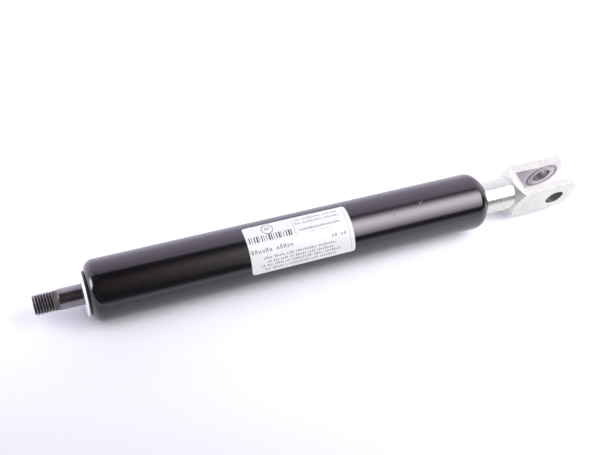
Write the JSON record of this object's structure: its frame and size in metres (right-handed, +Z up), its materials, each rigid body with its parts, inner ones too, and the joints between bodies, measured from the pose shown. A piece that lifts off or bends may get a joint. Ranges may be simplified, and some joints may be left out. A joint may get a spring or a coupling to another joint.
{
  "type": "gas strut stay",
  "caption": "Pull-type gas strut stay: black gloss pressure tube, short threaded piston rod at one end and a bright fork head with a cross bore at the other.",
  "frame": {"origin": "centre of the fork head's cross bore", "axes": "+X along the strut from the piston rod towards the fork head's ears; +Y along the fork's cross bore; +Z up, square to both"},
  "size_m": [0.2865, 0.03, 0.0301],
  "materials": {
    "black_gloss_paint": "gloss",
    "white_film": "satin printed film",
    "bright_metal": "bright machined",
    "black_steel": "gloss",
    "nitrided_steel": "black nitrided, polished",
    "plain_steel": "machined",
    "spring_wire": "drawn wire",
    "sintered_bronze": "sintered",
    "seal_rubber": "matt",
    "guide_plastic": "moulded",
    "white_ptfe": "smooth",
    "white_plastic": "moulded acetal",
    "label_ink": "thermal print"
  },
  "bodies": {
    "cylinder": {"pressure_tube": "black_gloss_paint", "rating_label": "white_film", "fork_head": "bright_metal", "end_plug": "black_steel", "plug_o_ring": "seal_rubber", "plug_stop_ring": "spring_wire", "vent_filter": "sintered_bronze", "rear_bumper": "seal_rubber", "cover_disc": "white_plastic", "wiper_ring": "seal_rubber", "guide_housing": "guide_plastic", "guide_bush": "sintered_bronze", "rod_seal": "seal_rubber", "seal_backup_ring": "white_ptfe", "seal_washer": "plain_steel", "guide_o_ring": "seal_rubber", "guide_stop_ring": "spring_wire"},
    "piston_rings": {"piston_seal": "seal_rubber", "piston_wear_ring": "white_ptfe"},
    "rod": {"piston_rod": "nitrided_steel", "stop_sleeve": "guide_plastic", "extension_bumper": "seal_rubber", "piston_washer": "plain_steel", "piston_body": "bright_metal", "piston_bore_o_ring": "seal_rubber", "piston_nut": "plain_steel"}
  },
  "joints": [
    {"name": "rod_stroke", "type": "slide", "parent": "cylinder", "child": "piston_rings", "axis": [-1, 0, 0], "range_m": [0, 0.07], "stiffness_N_per_m": 12857, "springref_m": -0.11667},
    {"name": "rod_spin", "type": "hinge", "parent": "piston_rings", "child": "rod", "pos_m": [-0.0742, 0, 0], "axis": [1, 0, 0], "continuous": true}
  ]
}
